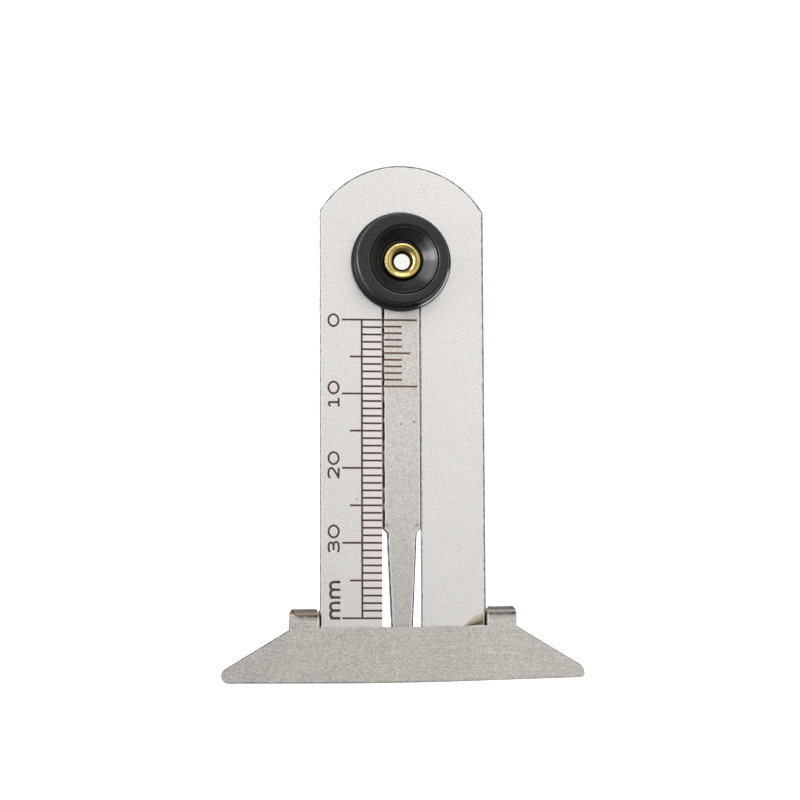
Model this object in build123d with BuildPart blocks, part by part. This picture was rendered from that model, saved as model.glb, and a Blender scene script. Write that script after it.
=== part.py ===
from build123d import *

import os
from math import cos, radians, sin, sqrt, tan

# Tread depth gauge: a slotted scale plate, a folded foot bracket and a sliding probe with a vernier.
# X runs across the plate, Y up it and Z out of its printed face. The gauge lies on its back.
# Heights named _y are measured from the foot's lower edge, where the scale reads zero.
# All sizes are in millimetres and all angles in degrees.

# Scale plate
plate_width = 22.27
plate_thickness = 1.0
plate_top_y = 69.7
arch_radius = 12.9
leg_end_y = 0.6
edge_rounding = 0.1

# Slot, how far the plate's sides are from even about it, and how the slider lies in it
slot_width = 5.2
plate_shift = 0.1
slot_side_gap = 0.07
slot_end_gap = 0.15
blade_face_gap = 0.05
slider_shift = 0.02

# Probe blade
knob_y = 56.4
shoulder_y = 20.4
shoulder_step = 0.54
probe_tip_width = 2.2

# Finger knobs
knob_gap = 0.05
knob_depth = 3.1
flange_radius = 6.75
flange_thickness = 0.45
wall_root_radius = 6.4
wall_rim_radius = 6.15
grip_groove_radius = 0.2
rim_rounding = 0.35
mouth_radius = 4.6
mouth_step = 0.3
mouth_rounding = 0.12
dish_edge_radius = 4.4
dish_floor_radius = 2.7
floor_thickness = 1.4
boss_radius = 2.25

# Hollow rivet through the knobs and the blade
bore_radius = 1.15
eyelet_wall = 0.3
eyelet_roll_radius = 2.46
eyelet_gap = 0.05

# Foot bracket, a sheet folded over at two tabs
sheet_thickness = 0.7
leaf_top_y = 7.35
foot_corner_y = 7.25
foot_corner_width = 30.2
foot_flat_width = 10.0
wing_rise = 0.9
left_wing_slope = 30.4
right_wing_slope = 31.8
left_tip_radius = 1.05
right_tip_upper_radius = 1.6
right_tip_lower_radius = 0.5
tab_top_y = 9.98
tab_side_gap = 0.06
tab_flare_width = 0.28
tab_flare_height = 0.65
tab_corner_width = 0.35
tab_corner_height = 0.7
foot_skew = 0.9

# Printed graduations
ink_thickness = 0.02
line_width = 0.25
scale_divisions = 40
scale_pitch = 1.0
scale_zero_y = 48.5
spine_inset = 5.62
five_mark_inset = 4.135
ten_mark_inset = 3.085
vernier_divisions = 10
vernier_span = 9.0
vernier_margin = 0.2
vernier_short = 2.3
vernier_middle = 3.45
vernier_long = 4.4

# The blade follows from the slot that it runs in
blade_width = slot_width - 2 * slot_side_gap
blade_thickness = plate_thickness - 2 * blade_face_gap
probe_root_width = blade_width - 2 * shoulder_step
eyelet_radius = bore_radius + eyelet_wall
rivet_hole_radius = eyelet_radius + eyelet_gap

# The fold wraps round the plate, so its inner radius is half the plate's thickness
fold_inner_radius = plate_thickness / 2
fold_outer_radius = fold_inner_radius + sheet_thickness
fold_axis_y = tab_top_y - fold_outer_radius

# The foot's lower edge is straight in the middle and rises a little along each wing.
# Each wing's upper edge slopes down from the tab and would meet the lower edge at a sharp corner.
rise = tan(radians(wing_rise))
left_fall = tan(radians(left_wing_slope))
right_fall = tan(radians(right_wing_slope))
corner_reach = foot_corner_width / 2
flat_reach = foot_flat_width / 2
left_apex = (foot_corner_y + left_fall * corner_reach + rise * flat_reach) / (left_fall + rise)
right_apex = (foot_corner_y + right_fall * corner_reach + rise * flat_reach) / (right_fall + rise)

# The right tip ends square, just high enough for its two roundings
upper_length = right_tip_upper_radius * tan(radians((90 - right_wing_slope) / 2))
lower_length = right_tip_lower_radius * tan(radians((90 - wing_rise) / 2))
right_tip_height = upper_length + lower_length + 0.01
right_tip_x = right_apex - right_tip_height / (right_fall + rise)
right_tip_y = rise * (right_tip_x - flat_reach)

# Foot outline, flat: the two tabs hold the plate between them, and spread a little at their tops
notch_half = plate_width / 2 + tab_side_gap
spread_half = notch_half + tab_flare_width
with BuildSketch() as foot_outline:
    with BuildLine():
        Polyline(
            (-notch_half, leaf_top_y),
            (-notch_half, tab_top_y - tab_flare_height),
            (-spread_half, tab_top_y),
            (tab_corner_width - corner_reach, tab_top_y),
            (-corner_reach, tab_top_y - tab_corner_height),
            (-corner_reach, foot_corner_y),
            (-left_apex, rise * (left_apex - flat_reach)),
            (-flat_reach, 0),
            (flat_reach, 0),
            (right_tip_x, right_tip_y),
            (right_tip_x, right_tip_y + right_tip_height),
            (corner_reach, foot_corner_y),
            (corner_reach, tab_top_y - tab_corner_height),
            (corner_reach - tab_corner_width, tab_top_y),
            (spread_half, tab_top_y),
            (notch_half, tab_top_y - tab_flare_height),
            (notch_half, leaf_top_y),
            close=True,
        )
    make_face()
    fillet(foot_outline.vertices().sort_by(Axis.X)[0], left_tip_radius)
    tip_corners = foot_outline.vertices().sort_by(Axis.X)[-2:].sort_by(Axis.Y)
    fillet(tip_corners[0], right_tip_lower_radius)
    upper_tip = foot_outline.vertices().sort_by_distance((right_tip_x, right_tip_y + right_tip_height))
    fillet(upper_tip[0], right_tip_upper_radius)

# The foot is turned a little on the plate, about the middle of its folds
turn = radians(foot_skew)
foot_x = plate_shift + fold_axis_y * sin(turn)
foot_y = fold_axis_y * (1 - cos(turn))
foot_reach = foot_outline.sketch.moved(Location((foot_x, foot_y, 0), (0, 0, foot_skew))).bounding_box()

# The origin lies under the middle of the whole gauge, level with the rear knob's rim
middle_x = (foot_reach.min.X + foot_reach.max.X) / 2
middle_y = (foot_reach.min.Y + plate_top_y) / 2
plate_middle_z = plate_thickness / 2 + knob_gap + knob_depth

plate_middle = Plane(origin=(-middle_x, -middle_y, plate_middle_z))
plate_front = plate_middle.offset(plate_thickness / 2)
blade_front = Plane(
    origin=plate_front.from_local_coords((slider_shift, 0, -blade_face_gap)), z_dir=(0, 0, 1)
)
rivet_foot = plate_middle.from_local_coords((slider_shift, knob_y, 0))
rivet_axis = Axis(rivet_foot, (0, 0, 1))
rivet_section = Plane(origin=rivet_foot, x_dir=(1, 0, 0), z_dir=(0, -1, 0))
foot_across = Vector(cos(turn), sin(turn), 0)
foot_up = Vector(-sin(turn), cos(turn), 0)
foot_origin = plate_middle.from_local_coords((foot_x, foot_y, 0))
foot_middle = Plane(origin=foot_origin, x_dir=foot_across, z_dir=(0, 0, 1))
foot_section = Plane(origin=foot_origin, x_dir=foot_up, z_dir=foot_across)

# Scale plate: one outline with the open slot, its front edges rounded by the shears
plate_left_x = plate_shift - plate_width / 2
plate_right_x = plate_shift + plate_width / 2
arch_corner_y = plate_top_y - arch_radius + sqrt(arch_radius**2 - (plate_width / 2) ** 2)
slot_arc_y = knob_y + slot_end_gap
with BuildPart() as scale_plate:
    with BuildSketch(plate_front):
        with BuildLine():
            ThreePointArc(
                (plate_left_x, arch_corner_y),
                (plate_shift, plate_top_y),
                (plate_right_x, arch_corner_y),
            )
            Polyline(
                (plate_right_x, arch_corner_y),
                (plate_right_x, leg_end_y),
                (slot_width / 2, leg_end_y),
                (slot_width / 2, slot_arc_y),
            )
            CenterArc((0, slot_arc_y), slot_width / 2, 0, 180)
            Polyline(
                (-slot_width / 2, slot_arc_y),
                (-slot_width / 2, leg_end_y),
                (plate_left_x, leg_end_y),
                (plate_left_x, arch_corner_y),
            )
        make_face()
    extrude(amount=-plate_thickness)
    fillet(scale_plate.faces().sort_by(Axis.Z)[-1].edges(), edge_rounding)
scale_plate.part.label = "scale_plate"

# Probe blade: a round head that carries the knobs, a long guide and a tapering probe
with BuildPart() as probe_blade:
    with BuildSketch(blade_front):
        with BuildLine():
            Polyline(
                (0, 0),
                (probe_tip_width / 2, 0),
                (probe_root_width / 2, shoulder_y - shoulder_step),
                (blade_width / 2, shoulder_y),
                (blade_width / 2, knob_y),
            )
            CenterArc((0, knob_y), blade_width / 2, 0, 90)
            mirror(about=Plane.YZ)
        make_face()
        with Locations((0, knob_y)):
            Circle(rivet_hole_radius, mode=Mode.SUBTRACT)
    extrude(amount=-blade_thickness)
    fillet(probe_blade.faces().sort_by(Axis.Z)[-1].outer_wire().edges(), edge_rounding)
probe_blade.part.label = "probe_blade"

# Foot bracket: the folded section of the sheet, cut to the outline of its leaves and tabs
with BuildPart() as foot_bracket:
    with BuildSketch(foot_section):
        with BuildLine():
            Polyline((0, fold_inner_radius), (0, fold_outer_radius), (fold_axis_y, fold_outer_radius))
            CenterArc((fold_axis_y, 0), fold_outer_radius, 90, -90)
            CenterArc((fold_axis_y, 0), fold_inner_radius, 0, 90)
            Line((fold_axis_y, fold_inner_radius), (0, fold_inner_radius))
            Line((tab_top_y, 0), (fold_axis_y + fold_inner_radius, 0))
        make_face()
        mirror(about=Plane.XZ)
    extrude(amount=max(left_apex, right_apex), both=True)
    with BuildSketch(foot_middle):
        add(foot_outline.sketch)
    extrude(amount=fold_outer_radius, both=True, mode=Mode.INTERSECT)
foot_bracket.part.label = "foot_bracket"

# Front knob: a turned form, with a boss that bears on the blade and keeps the flange off the plate
flange_z = plate_thickness / 2 + knob_gap
blade_z = blade_thickness / 2
rim_z = flange_z + knob_depth
floor_z = flange_z + floor_thickness
wall_foot_z = flange_z + flange_thickness
groove_z = (wall_foot_z + rim_z) / 2
groove_wall_radius = (wall_root_radius + wall_rim_radius) / 2
with BuildPart() as front_knob:
    with BuildSketch(rivet_section) as knob_section:
        with BuildLine():
            Polyline(
                (rivet_hole_radius, blade_z),
                (boss_radius, blade_z),
                (boss_radius, flange_z),
                (flange_radius, flange_z),
                (flange_radius, wall_foot_z),
                (wall_root_radius, wall_foot_z),
                (wall_rim_radius, rim_z),
                (mouth_radius, rim_z),
                (mouth_radius, rim_z - mouth_step),
                (dish_edge_radius, rim_z - mouth_step),
                (dish_floor_radius, floor_z),
                (rivet_hole_radius, floor_z),
                close=True,
            )
        make_face()
        rim_corner = knob_section.vertices().sort_by_distance((wall_rim_radius, rim_z))[0]
        fillet(rim_corner, rim_rounding)
        mouth_corner = knob_section.vertices().sort_by_distance((mouth_radius, rim_z))[0]
        fillet(mouth_corner, mouth_rounding)
        flange_corner = knob_section.vertices().sort_by_distance((flange_radius, wall_foot_z))[0]
        fillet(flange_corner, edge_rounding)
        with Locations((groove_wall_radius + grip_groove_radius / 2, groove_z)):
            Circle(grip_groove_radius, mode=Mode.SUBTRACT)
    revolve(axis=rivet_axis)
front_knob.part.label = "front_knob"

# Rear knob: the same moulding, the other way round
with BuildPart() as rear_knob:
    mirror(front_knob.part, about=plate_middle)
rear_knob.part.label = "rear_knob"

# Eyelet: a thin barrel, rolled over on the floor of each knob's dish
roll_radius = (eyelet_roll_radius - bore_radius) / 2
roll_x = bore_radius + roll_radius
with BuildPart() as brass_eyelet:
    with BuildSketch(rivet_section):
        with BuildLine():
            Line((bore_radius, 0), (bore_radius, floor_z))
            CenterArc((roll_x, floor_z), roll_radius, 180, -180)
            Line((eyelet_roll_radius, floor_z), (eyelet_roll_radius - eyelet_wall, floor_z))
            CenterArc((roll_x, floor_z), roll_radius - eyelet_wall, 0, 180)
            Polyline((eyelet_radius, floor_z), (eyelet_radius, 0), (bore_radius, 0))
        make_face()
        mirror(about=Plane.XZ)
    revolve(axis=rivet_axis)
brass_eyelet.part.label = "brass_eyelet"

# Scale print: a spine with a mark at each division, longer at the fives and longest at the tens
spine_x = plate_left_x + spine_inset
scale_right_x = -slot_width / 2 - edge_rounding
with BuildPart() as scale_print:
    with BuildSketch(plate_front):
        for division in range(scale_divisions + 1):
            mark_y = scale_zero_y - division * scale_pitch
            if division % 10 == 0:
                mark_x = plate_left_x + ten_mark_inset
            elif division % 5 == 0:
                mark_x = plate_left_x + five_mark_inset
            else:
                mark_x = spine_x
            with Locations((mark_x, mark_y)):
                Rectangle(scale_right_x - mark_x, line_width, align=(Align.MIN, Align.CENTER))
        spine_length = scale_divisions * scale_pitch + line_width
        with Locations((spine_x, scale_zero_y + line_width / 2)):
            Rectangle(line_width, spine_length, align=(Align.MIN, Align.MAX))
    extrude(amount=ink_thickness)
scale_print.part.label = "scale_print"

# Vernier print: ten divisions that take up nine of the scale's
vernier_left_x = vernier_margin + edge_rounding - blade_width / 2
with BuildPart() as vernier_print:
    with BuildSketch(blade_front):
        for division in range(vernier_divisions + 1):
            mark_y = scale_zero_y - division * vernier_span / vernier_divisions
            if division % 10 == 0:
                mark_length = vernier_long
            elif division % 5 == 0:
                mark_length = vernier_middle
            else:
                mark_length = vernier_short
            with Locations((vernier_left_x, mark_y)):
                Rectangle(mark_length, line_width, align=(Align.MIN, Align.CENTER))
    extrude(amount=ink_thickness)
vernier_print.part.label = "vernier_print"

os.makedirs("parts", exist_ok=True)
export_step(scale_plate.part, "parts/scale_plate.step")
export_step(foot_bracket.part, "parts/foot_bracket.step")
export_step(probe_blade.part, "parts/probe_blade.step")
export_step(front_knob.part, "parts/front_knob.step")
export_step(rear_knob.part, "parts/rear_knob.step")
export_step(brass_eyelet.part, "parts/brass_eyelet.step")
export_step(scale_print.part, "parts/scale_print.step")
export_step(vernier_print.part, "parts/vernier_print.step")
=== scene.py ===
import math
from functools import partial

import bpy
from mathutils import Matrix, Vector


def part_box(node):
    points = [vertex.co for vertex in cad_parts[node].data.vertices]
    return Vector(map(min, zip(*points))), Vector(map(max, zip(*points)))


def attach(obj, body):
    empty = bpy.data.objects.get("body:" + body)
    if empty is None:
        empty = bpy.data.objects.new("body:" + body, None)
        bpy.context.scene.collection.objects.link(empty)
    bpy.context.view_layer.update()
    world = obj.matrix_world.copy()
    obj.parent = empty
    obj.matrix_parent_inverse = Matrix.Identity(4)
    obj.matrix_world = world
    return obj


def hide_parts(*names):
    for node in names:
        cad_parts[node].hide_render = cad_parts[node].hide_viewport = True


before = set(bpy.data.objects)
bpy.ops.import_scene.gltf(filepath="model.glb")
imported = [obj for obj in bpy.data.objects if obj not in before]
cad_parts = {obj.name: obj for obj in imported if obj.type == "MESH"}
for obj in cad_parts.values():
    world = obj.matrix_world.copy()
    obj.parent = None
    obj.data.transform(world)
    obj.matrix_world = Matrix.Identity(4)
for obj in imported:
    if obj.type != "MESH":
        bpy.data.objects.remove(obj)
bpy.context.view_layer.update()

MM = 0.001
MM_IN_A_METRE = 1000

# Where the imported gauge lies, in millimetres. Most sizes below are plate sizes: X from the slot's
# centre line, Y from the foot's lower edge, and Z from the plate's front face.
PLATE_HEIGHT = 69.7
PLATE_SHIFT = 0.1
PLATE_HALF_WIDTH = 11.135
ARCH_RADIUS = 12.9
plate_low, plate_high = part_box("scale_plate")
PLATE_ORIGIN = (
    (plate_low.x + plate_high.x) / 2 / MM - PLATE_SHIFT,
    plate_high.y / MM - PLATE_HEIGHT,
    plate_high.z / MM,
)
SLIDER_AXIS = tuple((low + high) / 2 / MM for low, high in zip(*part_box("brass_eyelet")))
SLIDER_SHIFT = 0.02
SLOT_HALF_WIDTH = 2.6
SLOT_ARC_Y = 56.55
SLOT_LINE_WIDTH = 0.16
SCALE_ZERO_Y = 48.5
LINE_WIDTH = 0.25
# The blade's shoulder, where the tapering probe widens to the guide
SHOULDER_LOW_Y = 19.86
SHOULDER_HIGH_Y = 20.4
TIP_HALF_WIDTH = 1.1
PROBE_HALF_WIDTH = 1.99
SHOULDER_STEP = 0.54
# The rivet and the knob's dish sit a little off the knob's middle
EYELET_OFFSET = (0.06, -0.14)
DISH_OFFSET = (0.24, -0.15)
DISH_INNER_RADIUS = 3.0
DISH_OUTER_RADIUS = 5.0
LIP_RADIUS = 4.78
CREASE_RADIUS = 1.94
# The way to the side of the knob's flange with the painted highlight: so much to the right, and so
# much down
FLANGE_HIGHLIGHT_SIDE = (0.788, 0.616)
# The foot, which is turned a little on the plate: its wings slope down from where its leaf ends
FOOT_SKEW = math.radians(0.9)
FOOT_ORIGIN = (PLATE_ORIGIN[0] + 0.238, PLATE_ORIGIN[1] + 0.001, PLATE_ORIGIN[2])
WING_START_X = 15.1
WING_TOP_Y = 7.25
WING_FALL = math.tan(math.radians(30.4))
RIGHT_WING_EXTRA_FALL = 0.0333
WING_COSINE = 0.857
LOWER_EDGE_LEVEL_X = 5.0
LOWER_EDGE_RISE = 0.0157
# How far the floor lies under the rear knob's rim, in metres
FLOOR_GAP = 0.00002

# Colours as they would be mixed, in linear light
PLATE_COLOUR = (0.832, 0.812, 0.774)
BLADE_COLOUR = (0.68, 0.652, 0.617)
FOOT_COLOUR = (0.588, 0.563, 0.528)
# The sheared edges' colour: partly the cut steel's own, partly painted shade
CUT_EDGE_AND_SHADE_COLOUR = (0.05, 0.045, 0.04)
# Painted shade along outlines and in the gaps beside the blade
OUTLINE_SHADE_COLOUR = (0.016, 0.014, 0.012)
# Real grime and scratches, and also painted shade in the foot's fold corners
GRIME_AND_SHADE_COLOUR = (0.035, 0.03, 0.026)
# Painted shadow in the gaps beside the foot's tabs
GAP_SHADOW_COLOUR = (0.006, 0.005, 0.005)
PLASTIC_COLOUR = (0.003, 0.003, 0.0032)
BRASS_COLOUR = (0.74, 0.585, 0.21)
INK_COLOUR = (0.05, 0.024, 0.022)
VERNIER_INK_COLOUR = (0.1, 0.046, 0.036)
# A painted highlight, for edges and the knob's flange that catch the light
PAINTED_HIGHLIGHT_COLOUR = (0.93, 0.92, 0.9)
PLASTIC_SKIN_COLOUR = (0.027, 0.027, 0.0285)
DUST_COLOUR = (0.16, 0.155, 0.15)

# A painted reflection of the foot's fold on the plate, with a painted shadow line: the corner that it
# spreads from, and its colours by the slope from there
CORNER_REFLECTION_START = (7.7, 7.3)
CORNER_REFLECTION_COLOURS = [
    (0.0, (0.2, 0.195, 0.2)), (0.13, (0.24, 0.235, 0.235)), (0.17, (0.05, 0.04, 0.032)),
    (0.22, (0.06, 0.046, 0.033)), (0.28, (0.19, 0.145, 0.1)), (0.4, (0.42, 0.345, 0.25)),
    (0.6, (0.58, 0.5, 0.395)), (0.9, (0.76, 0.71, 0.64)),
]
# How bright the blade is by height
BLADE_BRIGHTNESS_BY_HEIGHT = [(0.0, 0.79), (12.0, 0.86), (19.5, 0.92), (23.0, 0.97), (36.0, 0.99), (50.0, 1.0)]
# Painted shade and reflection on the bands of the foot's two folds, by height on the foot
LEFT_FOLD_SHADE_COLOURS = [
    (8.3, (0.5, 0.455, 0.41)), (8.55, (0.43, 0.375, 0.33)), (8.7, (0.4, 0.34, 0.29)),
    (8.82, (0.18, 0.142, 0.108)), (8.95, (0.12, 0.095, 0.07)), (9.08, (0.2, 0.165, 0.125)),
    (9.25, (0.235, 0.195, 0.15)), (9.4, (0.175, 0.148, 0.11)), (9.7, (0.15, 0.132, 0.108)),
    (9.9, (0.13, 0.118, 0.1)),
]
RIGHT_FOLD_SHADE_COLOURS = [
    (8.6, (0.5, 0.475, 0.45)), (8.76, (0.3, 0.285, 0.27)), (8.86, (0.15, 0.142, 0.13)),
    (9.04, (0.165, 0.155, 0.143)), (9.16, (0.29, 0.28, 0.26)), (9.36, (0.3, 0.288, 0.265)),
    (9.48, (0.2, 0.19, 0.175)), (9.62, (0.15, 0.142, 0.135)), (9.76, (0.17, 0.162, 0.155)),
    (9.86, (0.4, 0.39, 0.37)),
]

# The printed figures, as the strokes of a pen on an upright letter: X along the line, Y up it.
# Corners between the points of a stroke are smoothed, except where a point is given twice.
PEN_WIDTH = 0.27
LETTER_PEN_WIDTH = 0.35
NOUGHT_STROKES = [
    [(0.91, 1.47), (0.36, 1.27), (0.11, 0.79), (0.36, 0.31), (0.91, 0.11), (1.46, 0.31), (1.71, 0.79),
     (1.46, 1.27), (0.91, 1.47)],
]
ONE_STROKES = [
    [(0.11, 0.11), (1.29, 0.11)],
    [(0.70, 0.11), (0.70, 1.47)],
    [(0.70, 1.45), (0.40, 1.39), (0.13, 1.22)],
]
TWO_STROKES = [
    [(0.14, 1.24), (0.36, 1.42), (0.76, 1.48), (1.22, 1.40), (1.46, 1.14), (1.30, 0.84), (0.72, 0.42),
     (0.13, 0.11), (0.13, 0.11), (1.50, 0.11)],
]
THREE_STROKES = [
    [(0.10, 1.30), (0.38, 1.44), (0.78, 1.47), (1.22, 1.38), (1.39, 1.12), (1.20, 0.88), (0.84, 0.81),
     (0.34, 0.80)],
    [(0.84, 0.81), (1.26, 0.74), (1.45, 0.47), (1.26, 0.20), (0.78, 0.11), (0.36, 0.14), (0.06, 0.24)],
]
EM_STROKES = [
    [(0.15, 0.13), (0.15, 1.46)],
    [(0.15, 0.98), (0.28, 1.32), (0.62, 1.45), (1.02, 1.34), (1.17, 1.00), (1.17, 1.00), (1.17, 0.13)],
    [(1.17, 0.98), (1.30, 1.32), (1.64, 1.45), (2.04, 1.34), (2.19, 1.00), (2.19, 1.00), (2.19, 0.13)],
]

# Each printed sign: name, strokes, pen width, and the plate X of its foot and plate Y of its left side
PRINTED_SIGNS = [
    ("figure_0", NOUGHT_STROKES, PEN_WIDTH, -8.30, 47.49),
    ("figure_10_one", ONE_STROKES, PEN_WIDTH, -8.30, 36.62),
    ("figure_10_nought", NOUGHT_STROKES, PEN_WIDTH, -8.30, 38.38),
    ("figure_20_two", TWO_STROKES, PEN_WIDTH, -8.30, 27.01),
    ("figure_20_nought", NOUGHT_STROKES, PEN_WIDTH, -8.30, 28.89),
    ("figure_30_three", THREE_STROKES, PEN_WIDTH, -8.30, 17.17),
    ("figure_30_nought", NOUGHT_STROKES, PEN_WIDTH, -8.30, 19.10),
    ("unit_m_first", EM_STROKES, LETTER_PEN_WIDTH, -8.08, 8.35),
    ("unit_m_second", EM_STROKES, LETTER_PEN_WIDTH, -8.08, 11.10),
]
INK_THICKNESS = 0.02


# Node trees

def tree_of(*values):
    """The node tree of the first of these values that is a socket."""
    return next(value.id_data for value in values if isinstance(value, bpy.types.NodeSocket))


def feed(socket, value):
    """Links an output to a socket, or sets the socket's own value."""
    if isinstance(value, bpy.types.NodeSocket):
        socket.id_data.links.new(value, socket)
    elif socket.type == "RGBA" and len(value) == 3:
        socket.default_value = (*value, 1)
    else:
        socket.default_value = value


def set_inputs(node, **inputs):
    """Gives each named input of a node a value or a link."""
    for name, value in inputs.items():
        feed(node.inputs[name.replace("_", " ")], value)


def add_node(tree, kind, settings=None, *ordered, **named):
    """Adds a node with its settings and its inputs, in order or by name. Returns its outputs."""
    made = tree.nodes.new(kind)
    for name, value in (settings or {}).items():
        setattr(made, name, value)
    for number, value in enumerate(ordered):
        feed(made.inputs[number], value)
    set_inputs(made, **named)
    return made.outputs


def sum_up(operation, first, second=0.0, clamp=False):
    """One step of arithmetic on two numbers."""
    settings = {"operation": operation, "use_clamp": clamp}
    return add_node(tree_of(first, second), "ShaderNodeMath", settings, first, second)[0]


times = partial(sum_up, "MULTIPLY")
plus = partial(sum_up, "ADD")
minus = partial(sum_up, "SUBTRACT")
larger = partial(sum_up, "MAXIMUM")
smaller = partial(sum_up, "MINIMUM")
absolute = partial(sum_up, "ABSOLUTE")


def vector_step(operation, first, second=(0, 0, 0), output="Vector"):
    """One step of arithmetic on two vectors."""
    settings = {"operation": operation}
    return add_node(tree_of(first, second), "ShaderNodeVectorMath", settings, first, second)[output]


def split(vector):
    """The X, Y and Z of a vector."""
    return add_node(tree_of(vector), "ShaderNodeSeparateXYZ", None, vector)


def join(x, y, z=0.0):
    """A vector from its X, Y and Z."""
    return add_node(tree_of(x, y, z), "ShaderNodeCombineXYZ", None, x, y, z)[0]


def level_between(value, low, high, start, end, interpolation="LINEAR"):
    """Goes evenly from start to end while the value goes from low to high."""
    settings = {"interpolation_type": interpolation}
    made = add_node(tree_of(value), "ShaderNodeMapRange", settings, value, low, high, start, end)
    return made["Result"]


def ramp_between(value, low, high, start=0.0, end=1.0):
    """Goes smoothly from start to end while the value goes from low to high."""
    return level_between(value, low, high, start, end, "SMOOTHSTEP")


def blend_colour(share, first, second):
    """Goes from the first colour to the second by the share."""
    made = tree_of(share, first, second).nodes.new("ShaderNodeMix")
    made.data_type = "RGBA"
    for number, value in ((0, share), (6, first), (7, second)):
        feed(made.inputs[number], value)
    return made.outputs[2]


def brighten(tone, amount):
    """A tone times a number."""
    return vector_step("MULTIPLY", tone, join(amount, amount, amount))


def shade(colour, amount):
    """A plain colour times a number."""
    return tuple(part * amount for part in colour)


def band_colours(height, stops):
    """A colour for each height, from stops of (height, colour)."""
    low, high = stops[0][0], stops[-1][0]
    ramp = tree_of(height).nodes.new("ShaderNodeValToRGB")
    feed(ramp.inputs["Fac"], sum_up("DIVIDE", minus(height, low), high - low))
    elements = ramp.color_ramp.elements
    for number, position, colour in ((1, 1.0, stops[-1][1]), (0, 0.0, stops[0][1])):
        elements[number].position = position
        elements[number].color = (*colour, 1)
    for stop_height, colour in stops[1:-1]:
        elements.new((stop_height - low) / (high - low)).color = (*colour, 1)
    return ramp.outputs["Color"]


def distance_from(place, x, y):
    """How far each point lies from an upright line at this X and Y."""
    beside = vector_step("MULTIPLY", vector_step("SUBTRACT", place, (x, y, 0)), (1, 1, 0))
    return vector_step("LENGTH", beside, output="Value")


def new_group(name, outputs, **numbers):
    """An empty shader node group that takes a vector and these numbers."""
    tree = bpy.data.node_groups.new(name, "ShaderNodeTree")
    tree.interface.new_socket("Vector", in_out="INPUT", socket_type="NodeSocketVector")
    for label, value in numbers.items():
        label = label.replace("_", " ")
        socket = tree.interface.new_socket(label, in_out="INPUT", socket_type="NodeSocketFloat")
        socket.default_value = value
    for label in outputs:
        tree.interface.new_socket(label, in_out="OUTPUT", socket_type="NodeSocketFloat")
    return tree, tree.nodes.new("NodeGroupInput").outputs, tree.nodes.new("NodeGroupOutput").inputs


def use_group(group, place, **inputs):
    """Places a node group in the tree of this vector, with this finish's own values."""
    made = tree_of(place).nodes.new("ShaderNodeGroup")
    made.node_tree = group
    set_inputs(made, Vector=place, **inputs)
    return made.outputs


# Effects that several finishes share

def make_grain():
    """Fine rolled or blasted grain, longer along X than across, as a value from 0 to 1."""
    tree, given, out = new_group("sheet_grain", ["Value"], Length=0.3, Width=0.15)
    size = join(given["Length"], given["Width"], given["Width"])
    place = vector_step("DIVIDE", given["Vector"], size)
    noise = add_node(tree, "ShaderNodeTexNoise", Vector=place, Scale=1.0, Detail=2.0, Roughness=0.65)
    feed(out["Value"], ramp_between(noise["Fac"], 0.25, 0.75))
    return tree


def make_scratches():
    """Straight fine scratches, one in some of the cells of a stretched grid, as a mask."""
    tree, given, out = new_group(
        "fine_scratches", ["Mask"], Turn=0.0, Length=6.0, Spacing=1.0, Width=0.05, Share=0.4
    )
    about_z = {"rotation_type": "Z_AXIS"}
    turned = add_node(
        tree, "ShaderNodeVectorRotate", about_z, Vector=given["Vector"], Angle=given["Turn"]
    )
    size = join(given["Length"], given["Spacing"], 1.0)
    place = vector_step("DIVIDE", turned[0], size)
    flat = {"voronoi_dimensions": "2D"}
    cells = add_node(tree, "ShaderNodeTexVoronoi", flat, Vector=place, Scale=1.0)
    away = vector_step("MULTIPLY", vector_step("SUBTRACT", place, cells["Position"]), size)
    apart = split(vector_step("ABSOLUTE", away))
    chance = add_node(tree, "ShaderNodeSeparateColor", Color=cells["Color"])
    across = ramp_between(apart["Y"], given["Width"], 0.0)
    along = ramp_between(apart["X"], times(given["Length"], 0.45), 0.0)
    there = sum_up("LESS_THAN", chance["Red"], given["Share"])
    mask = times(times(across, along), there)
    feed(out["Mask"], times(mask, chance["Green"]))
    return tree


def make_specks():
    """Small round pits, dents or dust, scattered at random, as a mask."""
    tree, given, out = new_group("scattered_specks", ["Mask"], Spacing=1.5, Size=0.08, Share=0.3)
    spacing = given["Spacing"]
    place = vector_step("DIVIDE", given["Vector"], join(spacing, spacing, spacing))
    cells = add_node(tree, "ShaderNodeTexVoronoi", Vector=place, Scale=1.0)
    chance = add_node(tree, "ShaderNodeSeparateColor", Color=cells["Color"])
    reach = times(given["Size"], chance["Blue"])
    near = ramp_between(times(cells["Distance"], spacing), reach, 0.0)
    feed(out["Mask"], times(near, sum_up("LESS_THAN", chance["Red"], given["Share"])))
    return tree


def make_smudges():
    """Soft cloudy patches left by handling, as a value from 0 to 1."""
    tree, given, out = new_group("handling_smudges", ["Value"], Size=5.0)
    size = given["Size"]
    place = vector_step("DIVIDE", given["Vector"], join(size, size, size))
    noise = add_node(
        tree, "ShaderNodeTexNoise", Vector=place, Scale=1.0, Detail=3.0, Roughness=0.55, Distortion=0.6
    )
    feed(out["Value"], ramp_between(noise["Fac"], 0.3, 0.7))
    return tree


def make_cut_edge():
    """The sheared edge of a sheet: every face that doesn't look straight up or down, as a mask."""
    tree, given, out = new_group("cut_edge", ["Mask"], Start=0.1, End=0.45)
    upward = split(add_node(tree, "ShaderNodeNewGeometry")["Normal"])["Z"]
    edge = ramp_between(minus(1.0, absolute(upward)), given["Start"], given["End"])
    noise = add_node(tree, "ShaderNodeTexNoise", Vector=given["Vector"], Scale=1.6, Detail=3.0)
    feed(out["Mask"], times(edge, ramp_between(noise["Fac"], 0.35, 0.6, 0.75, 1.0)))
    return tree


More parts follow.
